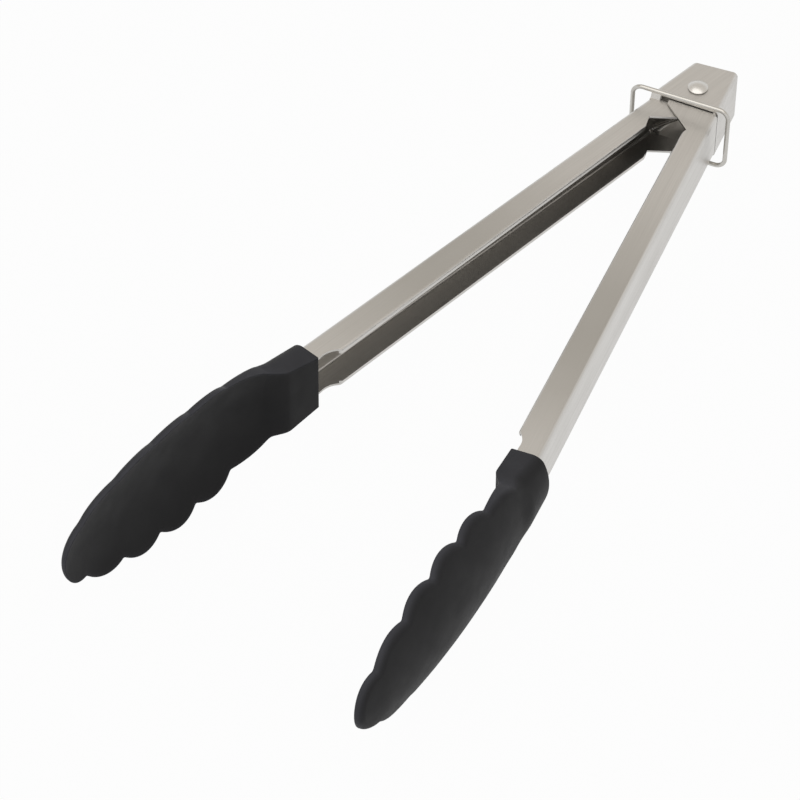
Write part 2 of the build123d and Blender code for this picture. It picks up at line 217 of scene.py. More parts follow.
class TongsRivet(bpy.types.PropertyGroup):
    """Sizes of the rivet"""
    shank: length("Shank", "Radius of the shank", 0.002)
    head: length("Head", "Radius of a head", 0.0035)
    height: length("Height", "Height of a head's dome", 0.0016)
    skirt: length("Skirt", "Upright rim below the dome", 0.00045)
    edge: length("Edge", "Bevel under a head's rim", 0.0001)
    rounds: whole("Rounds", "Rings of faces on a dome", 12, 3)
    segments: whole("Segments", "Faces round the rivet", 64, 12)


class TongsSpring(bpy.types.PropertyGroup):
    """Sizes of the torsion spring"""
    wire: length("Wire", "Diameter of the wire", 0.0016)
    radius: length("Radius", "Middle of the wire in the coil", 0.0044)
    pitch: length("Pitch", "Rise of one turn", 0.0023)
    leg: length("Leg", "Rivet to the tip of a leg, along its arm", 0.0125)
    leg_side: length("Leg side", "Arm's centre line to the tip of a leg", 0.00871)
    turns: whole("Turns", "Whole turns of the coil", 4, 1)
    segments: whole("Segments", "Wire pieces in one turn", 40, 12)
    roundness: whole("Roundness", "Smoothness of the wire's round section", 5, 1)


class TongsRing(bpy.types.PropertyGroup):
    """Sizes of the lock ring"""
    wire: length("Wire", "Diameter of the wire", 0.0016)
    width: length("Width", "Width between the middles of the wire", 0.0350)
    height: length("Height", "Height between the middles of the wire", 0.0252)
    corner: length("Corner", "Bend radius of the wire's middle", 0.0036)
    turn: angle("Turn", "How far the ring stands askew", 8.4)
    segments: whole("Segments", "Wire pieces in one corner", 12, 4)
    roundness: whole("Roundness", "Smoothness of the wire's round section", 6, 1)


class TongsFinish(bpy.types.PropertyGroup):
    """Colours and roughness of the materials"""
    steel: colour("Steel", "Brushed steel of the arms", (0.63, 0.615, 0.59))
    steel_dark: colour("Steel shade", "Darker brush lines of the arms", (0.55, 0.535, 0.51))
    # Painted shade: darker colour for the inner faces of the channel, where shade falls, deepest at the
    # rivet
    steel_inside_shade: colour("Steel inside", "Unbrushed steel deep inside the arms", (0.33, 0.32, 0.303))
    # Painted shade: darker colour for the flanges round the middle of each arm
    steel_flange_shade: colour("Steel handled", "Flanges where they are held", (0.445, 0.432, 0.405))
    steel_rough: share("Steel roughness", "Roughness of the brushed steel", 0.34)
    wire: colour("Wire", "Drawn wire of the ring and the spring", (0.49, 0.475, 0.44))
    wire_rough: share("Wire roughness", "Roughness of the drawn wire", 0.2)
    rivet: colour("Rivet", "Satin steel of the rivet", (0.66, 0.65, 0.625))
    rivet_rough: share("Rivet roughness", "Roughness of the rivet", 0.31)
    nylon: colour("Nylon", "Moulded nylon of the heads", (0.026, 0.026, 0.0272))
    # Painted highlight: lighter colour along the heads' rims
    nylon_highlight: colour("Nylon wear", "Nylon where it is rubbed", (0.062, 0.063, 0.072))
    nylon_rough: share("Nylon roughness", "Roughness of the moulded nylon", 0.57)
    nylon_shine: share("Nylon shine", "Specular level of the moulded nylon", 0.09)


class TongsStage(bpy.types.PropertyGroup):
    """Floor, light and camera"""
    floor: length("Floor", "Width of the floor", 6.0)
    floor_drop: length("Floor drop", "Gap that keeps the floor clear of the object", 0.0002)
    floor_colour: colour("Floor colour", "Pale floor", (0.5, 0.5, 0.5))
    glow: share("Glow", "How far the floor is seen as plain white", 0.97)
    sky: FloatProperty(name="Sky", description="Strength of the even light round the object", default=0.4)
    ceiling: colour("Ceiling", "Colour that is seen high above the white horizon", (0.77, 0.73, 0.68))
    horizon: share("Horizon", "Height up to which the sky is seen white", 0.15)
    zenith: share("Zenith", "Height from which the ceiling is seen in full", 0.65)
    key: power("Key lamp", "Power of the lamp above", 8.0)
    key_place: place("Key place", "Where the lamp above hangs", (0.05, -0.4, 1.1))
    key_size: length("Key size", "Width of the lamp above", 1.6)
    fill: power("Fill lamp", "Power of the lamp at the right", 0.4)
    fill_place: place("Fill place", "Where the lamp at the right stands", (0.95, -0.45, 0.5))
    fill_size: length("Fill size", "Width of the lamp at the right", 0.8)
    aim: place("Aim", "Point that both lamps face", (0, 0, 0.02))
    camera_offset: place("Camera offset", "Rivet to the camera", (0.47205, -0.927916, 0.922744))
    camera_yaw: angle("Camera yaw", "How far the camera looks to the right of straight ahead", -32.56)
    camera_pitch: angle("Camera pitch", "How far the camera looks down", 45.86)
    camera_roll: angle("Camera roll", "How far the camera leans to its side", 0.52)
    camera_lens: FloatProperty(name="Camera lens", description="Focal length in millimetres", default=180)
    camera_sensor: FloatProperty(name="Camera sensor", description="Sensor width in millimetres", default=36)
    camera_end: length("Camera end", "Farthest distance that the camera shows", 20)


def deselect():
    """Leaves object mode with nothing selected."""
    if bpy.context.object and bpy.context.object.mode != "OBJECT":
        bpy.ops.object.mode_set(mode="OBJECT")
    bpy.ops.object.select_all(action="DESELECT")


def pick(*objects):
    """Selects these objects alone and makes the first one active."""
    deselect()
    for piece in objects:
        piece.select_set(True)
    bpy.context.view_layer.objects.active = objects[0]


def settle(piece):
    """Puts a piece's place, turn and scale into its mesh."""
    pick(piece)
    bpy.ops.object.transform_apply(location=True, rotation=True, scale=True)


def edit_all(piece):
    """Edit mode with everything selected."""
    pick(piece)
    bpy.ops.object.mode_set(mode="EDIT")
    bpy.ops.mesh.select_all(action="SELECT")


def close_mesh(piece, smooth_angle):
    """Merges a mesh's doubled points, turns its faces outward and smooths its flatter edges."""
    edit_all(piece)
    bpy.ops.mesh.remove_doubles(threshold=MERGE)
    bpy.ops.mesh.normals_make_consistent(inside=False)
    bpy.ops.object.mode_set(mode="OBJECT")
    bpy.ops.object.shade_smooth_by_angle(angle=smooth_angle)
    settle(piece)


def finish_piece(piece, name, body, nodes, finish):
    """Names a piece, gives it its material and ties it to the model."""
    pick(piece)
    piece.name = name
    piece.data.name = name
    piece.data.materials.clear()
    piece.data.materials.append(finish)
    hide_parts(*nodes)
    if body:
        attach(piece, body)
    return piece


def arm_axes(side):
    """Directions along an arm, inward and up."""
    lean = bpy.context.scene.tongs_arms.lean
    along = Vector((side * sin(lean), -cos(lean), 0))
    inward = Vector((-side * cos(lean), -sin(lean), 0))
    return along, inward, Vector((0, 0, 1))


def feed(tree, value, socket):
    """Links another node's output to a socket, or sets the socket to a number or a colour."""
    if isinstance(value, bpy.types.NodeSocket):
        tree.links.new(value, socket)
    elif socket.type == "RGBA":
        socket.default_value = (*value, 1)
    else:
        socket.default_value = value


def add_node(tree, kind, **values):
    """Shader node with its settings, and its inputs by name."""
    made = tree.nodes.new(kind)
    for key, value in values.items():
        if hasattr(made, key):
            setattr(made, key, value)
        else:
            feed(tree, value, made.inputs[key])
    return made


def add_group(name, inputs, outputs):
    """Empty shader node group with named sockets, and its two end nodes."""
    tree = bpy.data.node_groups.new(name, "ShaderNodeTree")
    for label, kind, value in inputs:
        socket = tree.interface.new_socket(name=label, in_out="INPUT", socket_type=kind)
        if value is not None:
            socket.default_value = value
    for label, kind in outputs:
        tree.interface.new_socket(name=label, in_out="OUTPUT", socket_type=kind)
    return tree, tree.nodes.new("NodeGroupInput"), tree.nodes.new("NodeGroupOutput")


def calculate(tree, operation, *values):
    """Result of one calculation with numbers and other nodes' outputs."""
    made = add_node(tree, "ShaderNodeMath", operation=operation)
    for value, socket in zip(values, made.inputs):
        feed(tree, value, socket)
    return made.outputs[0]


def map_range(tree, value, source, target=(0.0, 1.0), shape="LINEAR"):
    """Value carried from one range to another and held at its ends."""
    made = add_node(tree, "ShaderNodeMapRange", interpolation_type=shape)
    for name, end in zip(("From Min", "From Max", "To Min", "To Max"), (*source, *target)):
        made.inputs[name].default_value = end
    feed(tree, value, made.inputs["Value"])
    return made.outputs["Result"]


def mix_colours(tree, mask, low, high):
    """Colour that runs from low, a colour or another node's output, to high with a mask."""
    mixed = add_node(tree, "ShaderNodeMix", data_type="RGBA")
    feed(tree, mask, mixed.inputs["Factor"])
    feed(tree, low, mixed.inputs["A"])
    feed(tree, high, mixed.inputs["B"])
    return mixed.outputs["Result"]


def noise(tree, places, scale, detail, rough=0.5):
    """Even noise over three dimensions."""
    made = add_node(tree, "ShaderNodeTexNoise", noise_dimensions="3D", Vector=places, Scale=scale,
                    Detail=detail, Roughness=rough)
    return made.outputs["Fac"]


def kept_value(tree, name):
    """Number that a mesh keeps for each of its points."""
    return add_node(tree, "ShaderNodeAttribute", attribute_name=name).outputs["Fac"]


def bump(tree, height, depth, strength, shader):
    """Bump of a real depth on a shader's normal."""
    made = add_node(tree, "ShaderNodeBump", Distance=depth, Strength=strength, Height=height)
    feed(tree, made.outputs["Normal"], shader.inputs["Normal"])


def brush_lines():
    """Fine parallel scratches of brushed or drawn steel, stretched along the pattern's Y."""
    name = "Brush Lines"
    if name in bpy.data.node_groups:
        return bpy.data.node_groups[name]
    tree, start, end = add_group(
        name,
        [("Vector", "NodeSocketVector", None), ("Fineness", "NodeSocketFloat", 2500.0),
         ("Stretch", "NodeSocketFloat", 0.02)],
        [("Mask", "NodeSocketFloat"), ("Height", "NodeSocketFloat")])
    size = add_node(tree, "ShaderNodeCombineXYZ", X=1.0, Y=start.outputs["Stretch"], Z=1.0)
    pulled = add_node(tree, "ShaderNodeVectorMath", operation="MULTIPLY")
    feed(tree, start.outputs["Vector"], pulled.inputs[0])
    feed(tree, size.outputs[0], pulled.inputs[1])
    fine = noise(tree, pulled.outputs[0], start.outputs["Fineness"], detail=3.0, rough=0.6)
    coarse_scale = calculate(tree, "MULTIPLY", start.outputs["Fineness"], COARSE_SCALE)
    coarse = noise(tree, pulled.outputs[0], coarse_scale, detail=2.0)
    broad = calculate(tree, "MULTIPLY", coarse, 1 - FINE_SHARE)
    both = calculate(tree, "MULTIPLY_ADD", fine, FINE_SHARE, broad)
    feed(tree, map_range(tree, both, LINE_CONTRAST), end.inputs["Mask"])
    feed(tree, both, end.inputs["Height"])
    return tree


def handling_marks():
    """Soft cloudy patches left by handling and washing."""
    name = "Handling Marks"
    if name in bpy.data.node_groups:
        return bpy.data.node_groups[name]
    tree, start, end = add_group(
        name,
        [("Vector", "NodeSocketVector", None), ("Scale", "NodeSocketFloat", 60.0)],
        [("Mask", "NodeSocketFloat")])
    cloud = noise(tree, start.outputs["Vector"], start.outputs["Scale"], detail=4.0, rough=0.55)
    feed(tree, map_range(tree, cloud, CLOUD_CONTRAST), end.inputs["Mask"])
    return tree


def start_material(name):
    """New node material with its shader, and the object's own coordinates."""
    finish = bpy.data.materials.new(name)
    finish.use_nodes = True
    tree = finish.node_tree
    places = add_node(tree, "ShaderNodeTexCoord").outputs["Object"]
    return finish, tree, tree.nodes["Principled BSDF"], places


def place_group(tree, group, **values):
    """Node group in a material, with its inputs by name."""
    return add_node(tree, "ShaderNodeGroup", node_tree=group, **values)


def flange_shade(tree, turned):
    """Mask of the painted shade on the flanges round the middle of an arm, centred at Held along the turned
    Y axis.
    """
    sizes = bpy.context.scene.tongs_arms
    parts = add_node(tree, "ShaderNodeSeparateXYZ", Vector=turned)
    middle = PIVOT.y * cos(sizes.lean) - sizes.held * sizes.span
    distance = calculate(tree, "ABSOLUTE", calculate(tree, "SUBTRACT", parts.outputs["Y"], middle))
    near = map_range(tree, distance, (0.0, sizes.shade_reach), (1.0, 0.0), "SMOOTHSTEP")
    return calculate(tree, "MULTIPLY", kept_value(tree, "flange"), near)


def steel_finish(name, turn, light, dark, rough, pattern):
    """Brushed steel whose lines run along a turned Y axis, with painted shade on a sheet's inner faces and
    round the middle of its flanges.
    """
    colours = bpy.context.scene.tongs_finish
    finish, tree, shader, places = start_material(name)
    mapping = add_node(tree, "ShaderNodeMapping", Vector=places, Rotation=(0, 0, turn))
    turned = mapping.outputs["Vector"]
    lines = place_group(tree, brush_lines(), Vector=turned, Fineness=pattern["fineness"],
                        Stretch=pattern["stretch"])
    marks = place_group(tree, handling_marks(), Vector=places, Scale=STEEL_CLOUDS)
    brushed = mix_colours(tree, lines.outputs["Mask"], dark, light)
    # Painted shade on the flanges round the middle of each arm
    held = mix_colours(tree, flange_shade(tree, turned), brushed, colours.steel_flange_shade)
    # Painted shade: the channel's inner faces take the darker inside colour
    tone = mix_colours(tree, kept_value(tree, "inside"), held, colours.steel_inside_shade)
    feed(tree, tone, shader.inputs["Base Color"])
    lined = map_range(tree, lines.outputs["Mask"], (0.0, 1.0), (rough + ROUGH_SPREAD, rough - ROUGH_SPREAD))
    worn = calculate(tree, "MULTIPLY_ADD", marks.outputs["Mask"], MARK_ROUGH, lined)
    feed(tree, worn, shader.inputs["Roughness"])
    shader.inputs["Metallic"].default_value = 1.0
    bump(tree, lines.outputs["Height"], BRUSH_DEPTH, pattern["relief"], shader)
    return finish


def nylon_finish():
    """Black moulded nylon with a fine grain, and a painted highlight along its rims that the cloudy marks
    break up.
    """
    colours = bpy.context.scene.tongs_finish
    finish, tree, shader, places = start_material("black_nylon")
    marks = place_group(tree, handling_marks(), Vector=places, Scale=NYLON_CLOUDS).outputs["Mask"]
    highlight = map_range(tree, marks, (0.0, 1.0), (LEAST_HIGHLIGHT, 1.0))
    # Painted highlight along the rims, broken up by the cloudy marks
    highlighted = calculate(tree, "MULTIPLY", kept_value(tree, "rim"), highlight)
    feed(tree, mix_colours(tree, highlighted, colours.nylon, colours.nylon_highlight), shader.inputs["Base Color"])
    rough = colours.nylon_rough
    cloudy = map_range(tree, marks, (0.0, 1.0), (rough + ROUGH_SPREAD, rough - ROUGH_SPREAD))
    feed(tree, cloudy, shader.inputs["Roughness"])
    shader.inputs["Specular IOR Level"].default_value = colours.nylon_shine
    bump(tree, noise(tree, places, GRAIN_SCALE, detail=3.0), GRAIN_DEPTH, GRAIN_RELIEF, shader)
    return finish


def keep_attribute(piece, name, values):
    """Keeps one number for each point of a mesh."""
    kept = piece.data.attributes.new(name, "FLOAT", "POINT")
    kept.data.foreach_set("value", values.astype(np.float32))


def mesh_points(piece):
    """Places of a mesh's points, one row for each."""
    places = np.empty(len(piece.data.vertices) * 3)
    piece.data.vertices.foreach_get("co", places)
    return places.reshape(-1, 3)


def mark_faces(piece, side, half):
    """Marks an arm's points: those inside the channel, which take a painted shade fading towards the collar,
    and those on the outside of its flanges, where a painted shade falls round the middle of the arm.
    """
    sizes = bpy.context.scene.tongs_arms
    forward, inward, up = (np.array(axis) for axis in arm_axes(side))
    places = mesh_points(piece) - np.array(PIVOT)
    along, across, level = places @ forward, places @ inward, np.abs(places @ up)
    part = along / sizes.span
    web = -(sizes.web_rear + (sizes.web_front - sizes.web_rear) * part)
    edge = -(sizes.edge_rear + (sizes.edge_front - sizes.edge_rear) * part)
    skin = SKIN_SHARE * sizes.sheet
    deep = (across > web + skin) & (across < edge - skin) & (level < half - skin)
    # Painted shade inside the channel: full at the rivet, fading towards the collar
    keep_attribute(piece, "inside", deep * np.clip(1 - INSIDE_SHADE_FADE * part, 0, 1))
    keep_attribute(piece, "flange", np.abs(level - half) < skin / 2)


def rounded_copy(node, name):
    """Copy of a folded sheet with its cut edges rounded."""
    sizes = bpy.context.scene.tongs_arms
    piece = bpy.data.objects.new(name, frame["nodes"][node].data.copy())
    bpy.context.scene.collection.objects.link(piece)
    edit_all(piece)
    bpy.ops.mesh.remove_doubles(threshold=SHEET_MERGE)
    bpy.ops.mesh.dissolve_limited(angle_limit=SHEET_FLAT)
    bpy.ops.object.mode_set(mode="OBJECT")
    edges = piece.modifiers.new("edge rounding", "BEVEL")
    edges.width = sizes.edge_round
    edges.segments = sizes.edge_segments
    edges.limit_method = "ANGLE"
    edges.angle_limit = sizes.fold_angle
    edges.use_clamp_overlap = True
    bpy.ops.object.modifier_apply(modifier=edges.name)
    bpy.ops.object.shade_smooth_by_angle(angle=SHEET_SMOOTH)
    flat = piece.modifiers.new("flat faces", "WEIGHTED_NORMAL")
    flat.keep_sharp = True
    bpy.ops.object.modifier_apply(modifier=flat.name)
    return piece


def smooth_line(knots, places):
    """Values on a curve through the knots, which never overshoots them."""
    xs = np.array([knot[0] for knot in knots])
    ys = np.array([knot[1] for knot in knots])
    run = np.diff(xs)
    slope = np.diff(ys) / run
    tangent = np.zeros(len(xs))
    same = slope[:-1] * slope[1:] > 0
    tangent[1:-1][same] = 2 * slope[:-1][same] * slope[1:][same] / (slope[:-1][same] + slope[1:][same])
    tangent[-1] = slope[-1]
    cell = np.clip(np.searchsorted(xs, places, side="right") - 1, 0, len(xs) - 2)
    part = (places - xs[cell]) / run[cell]
    rest = 1 - part
    return (ys[cell] * rest ** 2 * (1 + 2 * part) + ys[cell + 1] * part ** 2 * (3 - 2 * part)
            + run[cell] * part * rest * (tangent[cell] * rest - tangent[cell + 1] * part))


def arc_height(places, start, middle, end):
    """Height of the circular arc through three points of a side view."""
    (x0, y0), (xm, ym), (x1, y1) = start, middle, end
    matrix = 2 * np.array([[x1 - x0, y1 - y0], [xm - x0, ym - y0]])
    known = np.array([x1 ** 2 - x0 ** 2 + y1 ** 2 - y0 ** 2, xm ** 2 - x0 ** 2 + ym ** 2 - y0 ** 2])
    cx, cy = np.linalg.solve(matrix, known)
    radius = np.hypot(x0 - cx, y0 - cy)
    return cy + np.sqrt(np.maximum(radius ** 2 - (places - cx) ** 2, 0))


def notch_places(sizes):
    """Places of the notches along a head."""
    return [sizes.first_notch + sizes.lobe_pitch * count for count in range(sizes.notch_count)]


def sharp_half(sizes, places):
    """Half height of a head with sharp notches: collar, lobes between the notches, and the tip."""
    points = [(x, sizes.notch_half * np.sqrt(1 - ((x - sizes.notch_centre) / sizes.notch_span) ** 2))
              for x in notch_places(sizes)]
    line = [(0, sizes.collar_rear), (sizes.collar, sizes.collar_front), points[0]]
    half = np.interp(places, [x for x, _ in line], [y for _, y in line])
    for count, (start, end) in enumerate(zip(points, points[1:])):
        depth = sizes.lobe_depth / 2 if count == 0 else sizes.lobe_depth
        crest = ((start[0] + end[0]) / 2, (start[1] + end[1]) / 2 + depth)
        inside = (places > start[0]) & (places <= end[0])
        half = np.where(inside, arc_height(places, start, crest, end), half)
    last, height = points[-1]
    part = np.clip((places - last) / (sizes.reach - last), 0, 1)
    tip = height * np.sqrt(1 - part ** sizes.tip_power)
    return np.where(places > last, tip, half)


def head_half(sizes, places):
    """Half height of a head, with its notches rounded."""
    offsets = np.linspace(-sizes.notch_round, sizes.notch_round, NOTCH_SAMPLES)
    near = [sharp_half(sizes, np.clip(places + offset, 0, sizes.reach)) for offset in offsets]
    soft = np.mean(near, axis=0)
    before_tip = places < notch_places(sizes)[-1] + 2 * sizes.notch_round
    return np.where(before_tip, soft, sharp_half(sizes, places))


def head_stations(sizes):
    """Places along a head, close together at its rear, its notches and its tip."""
    notches = notch_places(sizes)
    rear = sizes.collar * np.linspace(0, 1, sizes.steps) ** REAR_CROWDING
    shoulder = np.linspace(sizes.collar, notches[0], sizes.steps // 2)
    lobes = [np.linspace(start, end, sizes.steps) for start, end in zip(notches, notches[1:])]
    window = sizes.notch_round * np.linspace(-NOTCH_WINDOW, NOTCH_WINDOW, NOTCH_STATIONS)
    near = [notch + window for notch in notches]
    tip_share = 1 - (1 - np.linspace(0, 1, 2 * sizes.steps)) ** TIP_CROWDING
    tip = notches[-1] + (sizes.reach - TIP_STOP - notches[-1]) * tip_share
    places = np.unique(np.round(np.concatenate([rear, shoulder, *lobes, *near, tip]), 7))
    return places[np.concatenate([[True], np.diff(places) > LEAST_STEP])]


def edge_distance(sizes, along, height):
    """Distance from each point of a head's side view to its upper, lower and tip edges."""
    xs = np.unique(np.concatenate([np.linspace(0, sizes.reach, EDGE_SAMPLES), head_stations(sizes)]))
    edge = np.stack([xs, head_half(sizes, xs)], 1)
    edge = np.concatenate([edge, edge[::-1] * (1, -1)])
    points = np.stack([along.ravel(), height.ravel()], 1)
    least = np.full(len(points), np.inf)
    for origin, step in zip(edge[:-1], np.diff(edge, axis=0)):
        size = step @ step
        if size == 0:
            continue
        part = np.clip(((points - origin) @ step) / size, 0, 1)
        least = np.minimum(least, np.linalg.norm(points - origin - part[:, None] * step, axis=1))
    return least.reshape(along.shape)


def round_over(distance, radius):
    """How far a rounded edge falls away at a distance from it."""
    near = np.clip(radius - distance, 0, radius)
    return radius - np.sqrt(radius ** 2 - near ** 2)


def bowl(bend, height):
    """Depth of a round hollow, one over its radius given as the bend, at a height from its middle."""
    return bend * height ** 2 / (1 + np.sqrt(1 - (bend * height) ** 2))


def shaped_grid(places, rim):
    """Grid whose points are moved to their places, with the closeness to the rim kept as an attribute."""
    stations, rows = places.shape[:2]
    deselect()
    bpy.ops.mesh.primitive_grid_add(x_subdivisions=stations - 1, y_subdivisions=rows - 1, size=2)
    piece = bpy.context.object
    flat = mesh_points(piece)
    if len(flat) != stations * rows:
        raise RuntimeError("the grid has another number of points than the head needs")
    station = np.rint((flat[:, 0] + 1) / 2 * (stations - 1)).astype(int)
    row = np.rint((flat[:, 1] + 1) / 2 * (rows - 1)).astype(int)
    piece.data.vertices.foreach_set("co", places[station, row].ravel())
    keep_attribute(piece, "rim", rim[station, row])
    piece.data.update()
    return piece


def bridged(sides):
    """One closed piece from two grids that face each other."""
    pick(*sides)
    bpy.ops.object.join()
    piece = bpy.context.object
    bpy.ops.object.mode_set(mode="EDIT")
    bpy.ops.mesh.select_mode(type="EDGE")
    bpy.ops.mesh.select_all(action="DESELECT")
    bpy.ops.mesh.select_non_manifold()
    bpy.ops.mesh.bridge_edge_loops()
    bpy.ops.mesh.select_all(action="SELECT")
    bpy.ops.mesh.normals_make_consistent(inside=False)
    bpy.ops.object.mode_set(mode="OBJECT")
    bpy.ops.object.shade_smooth()
    settle(piece)
    return piece


def head_piece(side):
    """One moulded head: its gripping face and its back are shaped grids, bridged along the rim."""
    sizes = bpy.context.scene.tongs_heads
    span = bpy.context.scene.tongs_arms.span

    # Side view: stations along the head, and rows that crowd together at the rims
    stations = head_stations(sizes)
    spread = np.linspace(-1, 1, 2 * sizes.rows + 1)
    across = np.sign(spread) * (1 - (1 - np.abs(spread)) ** RIM_CROWDING)
    along = np.repeat(stations[:, None], len(across), axis=1)
    height = head_half(sizes, stations)[:, None] * across[None, :]

    # Face and back: the collar is flat along its length, and its round back turns into the dished blade
    collar = [(place_along, sizes.collar_face, sizes.collar_back) for place_along in (0, sizes.collar)]
    knots = collar + BLADE_LINE
    turn = np.clip((along - sizes.collar) / (sizes.shoulder - sizes.collar), 0, 1)
    turn = turn * turn * (3 - 2 * turn)
    face = smooth_line([(x, level) for x, level, _ in knots], along) + bowl(turn / sizes.dish, height)
    back_bend = (1 - turn) / sizes.collar_round + turn / sizes.dish
    back = smooth_line([(x, level) for x, _, level in knots], along) + bowl(back_bend, height)

    # Rounded rims, and how strongly their painted highlight shows
    gap = edge_distance(sizes, along, height)
    rear = round_over(along, sizes.rear_edge)
    face -= np.maximum(round_over(gap, sizes.face_round), rear)
    back_round = (1 - turn) * sizes.collar_edge + turn * sizes.back_round
    back += np.maximum(round_over(gap, back_round), rear)
    rim = np.exp(-gap / sizes.highlight_width) * (sizes.collar_highlight + (1 - sizes.collar_highlight) * turn)

    # Both sides in their places on the arm
    height = height + (along - sizes.collar) * tan(sizes.lift)
    forward, inward, up = (np.array(axis) for axis in arm_axes(side))
    middle = np.array(PIVOT) + (span + along)[..., None] * forward + height[..., None] * up
    return bridged([shaped_grid(middle + level[..., None] * inward, rim) for level in (face, back)])


def wire_path(name, points):
    """Open path through points."""
    path = bpy.data.curves.new(name, "CURVE")
    path.dimensions = "3D"
    spline = path.splines.new("POLY")
    spline.points.add(len(points) - 1)
    for point, at in zip(spline.points, points):
        point.co = (*at, 1)
    made = bpy.data.objects.new(name, path)
    bpy.context.scene.collection.objects.link(made)
    return made


def wire_piece(curve_piece, wire, roundness):
    """Turns a path into a round wire mesh."""
    curve_piece.data.dimensions = "3D"
    curve_piece.data.bevel_depth = wire / 2
    curve_piece.data.bevel_resolution = roundness
    curve_piece.data.use_fill_caps = True
    pick(curve_piece)
    bpy.ops.object.convert(target="MESH")
    piece = bpy.context.object
    close_mesh(piece, WIRE_SMOOTH)
    return piece


def rivet_outline(sizes, seat):
    """Radius and level of each ring of points on the rivet's upper half, above the shank's middle."""
    outline = [(sizes.shank, seat), (sizes.head - sizes.edge, seat), (sizes.head, seat + sizes.edge),
               (sizes.head, seat + sizes.skirt)]
    dome = sizes.height - sizes.skirt
    ball = (sizes.head ** 2 + dome ** 2) / (2 * dome)
    widest = asin(sizes.head / ball)
    for count in range(1, sizes.rounds + 1):
        turn = widest * (1 - count / sizes.rounds)
        level = seat + sizes.skirt + ball * (cos(turn) - cos(widest))
        outline.append((max(ball * sin(turn), LEAST_RADIUS), level))
    return outline


class TONGS_OT_arms(bpy.types.Operator):
    """Rounds the cut edges of both folded arms and brushes them along their length"""
    bl_idname = "tongs.arms"
    bl_label = "Arms"

    def execute(self, context):
        colours = context.scene.tongs_finish
        sizes = context.scene.tongs_arms
        for node, body, side, half in (("outer_arm", "left_arm", OUTER, sizes.outer_half),
                                       ("inner_arm", "right_arm", INNER, sizes.inner_half)):
            finish = steel_finish(f"brushed_steel_{body}", -side * sizes.lean, colours.steel,
                                  colours.steel_dark, colours.steel_rough, BRUSHED_SHEET)
            piece = rounded_copy(node, f"{node}_sheet")
            mark_faces(piece, side, half)
            finish_piece(piece, f"{node}_sheet", body, [node], finish)
        return {"FINISHED"}


class TONGS_OT_heads(bpy.types.Operator):
    """Models both moulded heads with their collars, lobes and rounded rims"""
    bl_idname = "tongs.heads"
    bl_label = "Heads"

    def execute(self, context):
        finish = nylon_finish()
        for node, body, side in (("left_head", "left_arm", OUTER), ("right_head", "right_arm", INNER)):
            piece = head_piece(side)
            finish_piece(piece, f"{node}_moulding", body, [node], finish)
        return {"FINISHED"}


class TONGS_OT_rivet(bpy.types.Operator):
    """Turns the rivet with a smooth dome on each end"""
    bl_idname = "tongs.rivet"
    bl_label = "Rivet"

    def execute(self, context):
        sizes = context.scene.tongs_rivet
        colours = context.scene.tongs_finish
        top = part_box("pivot_rivet")[1].z
        deselect()
        bpy.ops.mesh.primitive_circle_add(vertices=sizes.segments, radius=sizes.shank, location=PIVOT)
        piece = context.object
        edit_all(piece)
        radius, level = sizes.shank, PIVOT.z
        for new_radius, new_level in rivet_outline(sizes, top - sizes.height):
            bpy.ops.mesh.extrude_region_move(TRANSFORM_OT_translate={"value": (0, 0, new_level - level)})
            grow = new_radius / radius
            bpy.ops.transform.resize(value=(grow, grow, 1), center_override=(PIVOT.x, PIVOT.y, new_level))
            radius, level = new_radius, new_level
        bpy.ops.mesh.edge_face_add()
        bpy.ops.mesh.select_all(action="SELECT")
        bpy.ops.mesh.duplicate()
        bpy.ops.transform.resize(value=(1, 1, -1), center_override=tuple(PIVOT))
        close_mesh(piece, RIVET_SMOOTH)
        finish = steel_finish("rivet_satin", SATIN_TURN, colours.rivet, colours.steel, colours.rivet_rough,
                              SATIN_RIVET)
        finish_piece(piece, "pivot_rivet_turned", "pivot", ["pivot_rivet"], finish)
        return {"FINISHED"}


class TONGS_OT_spring(bpy.types.Operator):
    """Winds the torsion spring in two halves, so that each leg follows its own arm"""
    bl_idname = "tongs.spring"
    bl_label = "Spring"

    def execute(self, context):
        sizes = context.scene.tongs_spring
        colours = context.scene.tongs_finish
        lean = context.scene.tongs_arms.lean
        tip = Vector((sizes.leg, -sizes.leg_side))
        leg_angle = atan2(tip.y, tip.x) - acos(sizes.radius / tip.length)
        start = -pi / 2 - lean + leg_angle + 2 * pi
        sweep = 2 * pi * sizes.turns + 2 * start - pi
        rise = sizes.pitch * sweep / (2 * pi)
        finish = steel_finish("spring_wire", 0, colours.wire, colours.steel_dark, colours.wire_rough,
                              DRAWN_SPRING)
        steps = int(sizes.segments * sweep / (2 * pi) / 2)
        for side, body, first in ((OUTER, "left_arm", 0.0), (INNER, "right_arm", 1.0)):
            along, inward, up = arm_axes(side)
            points = [PIVOT + along * tip.x + inward * tip.y + up * rise * (first - 0.5)]
            for count in range(steps + 1):
                at = first + (0.5 - first) * count / steps
                turn = start - sweep * at
                points.append(PIVOT + Vector((sizes.radius * cos(turn), sizes.radius * sin(turn),
                                              rise * (at - 0.5))))
            piece = wire_piece(wire_path("spring_half", points), sizes.wire, sizes.roundness)
            finish_piece(piece, f"torsion_spring_{body}", None, ["torsion_spring"], finish)
            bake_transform(piece)
        return {"FINISHED"}


